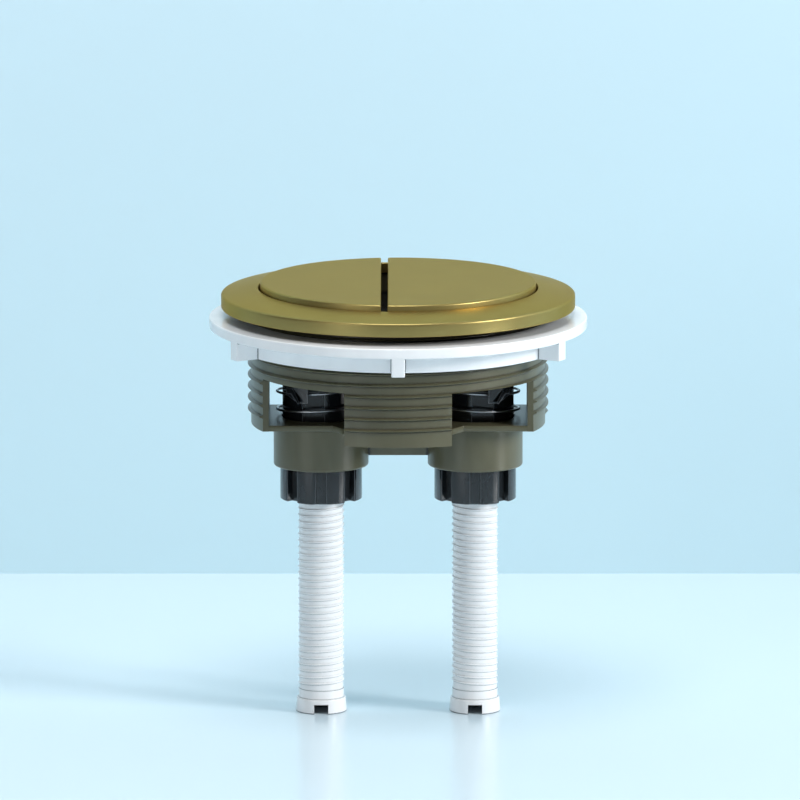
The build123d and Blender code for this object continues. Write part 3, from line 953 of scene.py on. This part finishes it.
def make_barb(name, side, facing):
    front = []
    back = []
    for x, height in BARB:
        front.append((side * (AXIS_X + x), facing * (BARB_FACE_Y + BARB_LEAN * (BARB_TOP_Z - height)), height))
        back.append((side * (AXIS_X + x), facing * math.sqrt(TAB_INNER_R**2 - x**2), height))
    barb = skin(f"{name}_barb", [back, front], looped=False)
    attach(barb, f"{name}_button")
    barb.data.materials.append(FINISHES["black_plastic"])


for name, side in SIDES.items():
    for facing in (-1, 1):
        make_barb(name, side, facing)
print("a barb has", len(BARB), "corners")

# %% [markdown]
# ## Floor, wall and light
# The object stands on a pale blue floor in front of a pale blue wall. A large soft lamp hangs
# above it, a second lights it from the right, a weak third from the front left, and the
# world lifts the shadows. Both sheets are one-sided: seen from behind they vanish, so the object
# can be looked at from every side, while they still catch light and shadow.

# %% Floor and wall
WALL_Y = 136.5
STAGE_REACH = 1500.0
WALL_HEIGHT = 900.0


def stage_finish(name, low_colour, high_colour, roughness):
    """Painted sheet with a trace of mottling, whose colour may change from the floor upward."""
    finish = Finish(name)
    mottle = finish.noise(60.0, detail=2.0)
    height = finish.node("ShaderNodeSeparateXYZ", {}, {"Vector": finish.place}, output="Z")
    climb = finish.between(height + mottle * 0.01, 0.0, 0.15)
    finish.use("Base Color", finish.mix(climb, low_colour, high_colour))
    finish.use("Roughness", roughness + mottle * 0.03)
    painted = Value(finish, finish.shader.outputs["BSDF"])
    clear = finish.node("ShaderNodeBsdfTransparent", {}, {})
    behind = finish.node("ShaderNodeNewGeometry", {}, {}, output="Backfacing")
    seen = finish.node("ShaderNodeLightPath", {}, {}, output="Is Camera Ray")
    shown = finish.node("ShaderNodeMixShader", {}, {0: behind * seen, 1: painted, 2: clear})
    finish.feed(finish.tree.nodes["Material Output"].inputs["Surface"], shown)
    return finish.material


def flat_sheet(name, corners, facing, material):
    """One square of the stage, turned so that its painted side faces the given way."""
    sheet = add_piece(name, corners, [(0, 1, 2, 3)])
    if sheet.data.polygons[0].normal.dot(Vector(facing)) < 0:
        sheet.data.flip_normals()
    sheet.data.materials.append(material)
    print(name, "faces", [round(part) for part in sheet.data.polygons[0].normal])


flat_sheet(
    "floor_sheet",
    [(-STAGE_REACH, -STAGE_REACH, 0), (STAGE_REACH, -STAGE_REACH, 0), (STAGE_REACH, WALL_Y, 0), (-STAGE_REACH, WALL_Y, 0)],
    (0, 0, 1), stage_finish("floor_paint", rgb(214, 231, 240), rgb(216, 232, 241), 0.2),
)
flat_sheet(
    "wall_sheet",
    [(-STAGE_REACH, WALL_Y, 0), (STAGE_REACH, WALL_Y, 0), (STAGE_REACH, WALL_Y, WALL_HEIGHT), (-STAGE_REACH, WALL_Y, WALL_HEIGHT)],
    (0, -1, 0), stage_finish("wall_paint", rgb(194, 223, 233), rgb(208, 234, 245), 0.6),
)

# %% Lamps and world
def soft_lamp(name, place, target, size, watts, colour=(1, 1, 1)):
    """Square area lamp that faces a point; places are in millimetres."""
    data = bpy.data.lights.new(name, "AREA")
    data.size = size * MM
    data.energy = watts
    data.color = colour
    lamp = bpy.data.objects.new(name, data)
    lamp.location = Vector(place) * MM
    lamp.rotation_euler = (Vector(target) - Vector(place)).to_track_quat("-Z", "Y").to_euler()
    bpy.context.scene.collection.objects.link(lamp)
    return lamp


HEAD_CENTRE = (0, 0, 60)
soft_lamp("key_lamp", (-60, -450, 1370), HEAD_CENTRE, 760, 11.3)
soft_lamp("side_lamp", (2177, -947, 1058), HEAD_CENTRE, 760, 53)
soft_lamp("left_lamp", (-1500, -2000, 700), HEAD_CENTRE, 1000, 7)

world = bpy.data.worlds.new("pale_studio")
world.use_nodes = True
background = world.node_tree.nodes["Background"]
background.inputs["Color"].default_value = rgb(247, 248, 249)
background.inputs["Strength"].default_value = 0.13
backdrop = world.node_tree.nodes.new("ShaderNodeBackground")
backdrop.inputs["Color"].default_value = rgb(205, 236, 248)
chooser = world.node_tree.nodes.new("ShaderNodeMixShader")
ray = world.node_tree.nodes.new("ShaderNodeLightPath")
for start, end in (
    (ray.outputs["Is Camera Ray"], chooser.inputs[0]),
    (background.outputs[0], chooser.inputs[1]),
    (backdrop.outputs[0], chooser.inputs[2]),
    (chooser.outputs[0], world.node_tree.nodes["World Output"].inputs["Surface"]),
):
    world.node_tree.links.new(start, end)
bpy.context.scene.world = world
bpy.context.scene.view_settings.view_transform = "Standard"

# %% [markdown]
# ## Camera
# The photo's upright edges stay parallel, so it was taken with a very long lens. The camera
# stands three metres away, a little above the head, and looks along +Y.

# %% Camera
CAMERA_DISTANCE = 3000.0
CAMERA_ELEVATION = 10.5
VIEW_WIDTH = 154.36
VIEW_CENTRE = (0.36, 0.0, 61.0)

camera_data = bpy.data.cameras.new("long_lens")
camera_data.sensor_width = 36.0
camera_data.lens = camera_data.sensor_width * CAMERA_DISTANCE / VIEW_WIDTH
camera_data.clip_end = 20.0
camera = bpy.data.objects.new("long_lens", camera_data)
tilt = math.radians(CAMERA_ELEVATION)
away = Vector((0, -math.cos(tilt), math.sin(tilt))) * CAMERA_DISTANCE
camera.location = (Vector(VIEW_CENTRE) + away) * MM
camera.rotation_euler = (math.pi / 2 - tilt, 0, 0)
bpy.context.scene.collection.objects.link(camera)
bpy.context.scene.camera = camera
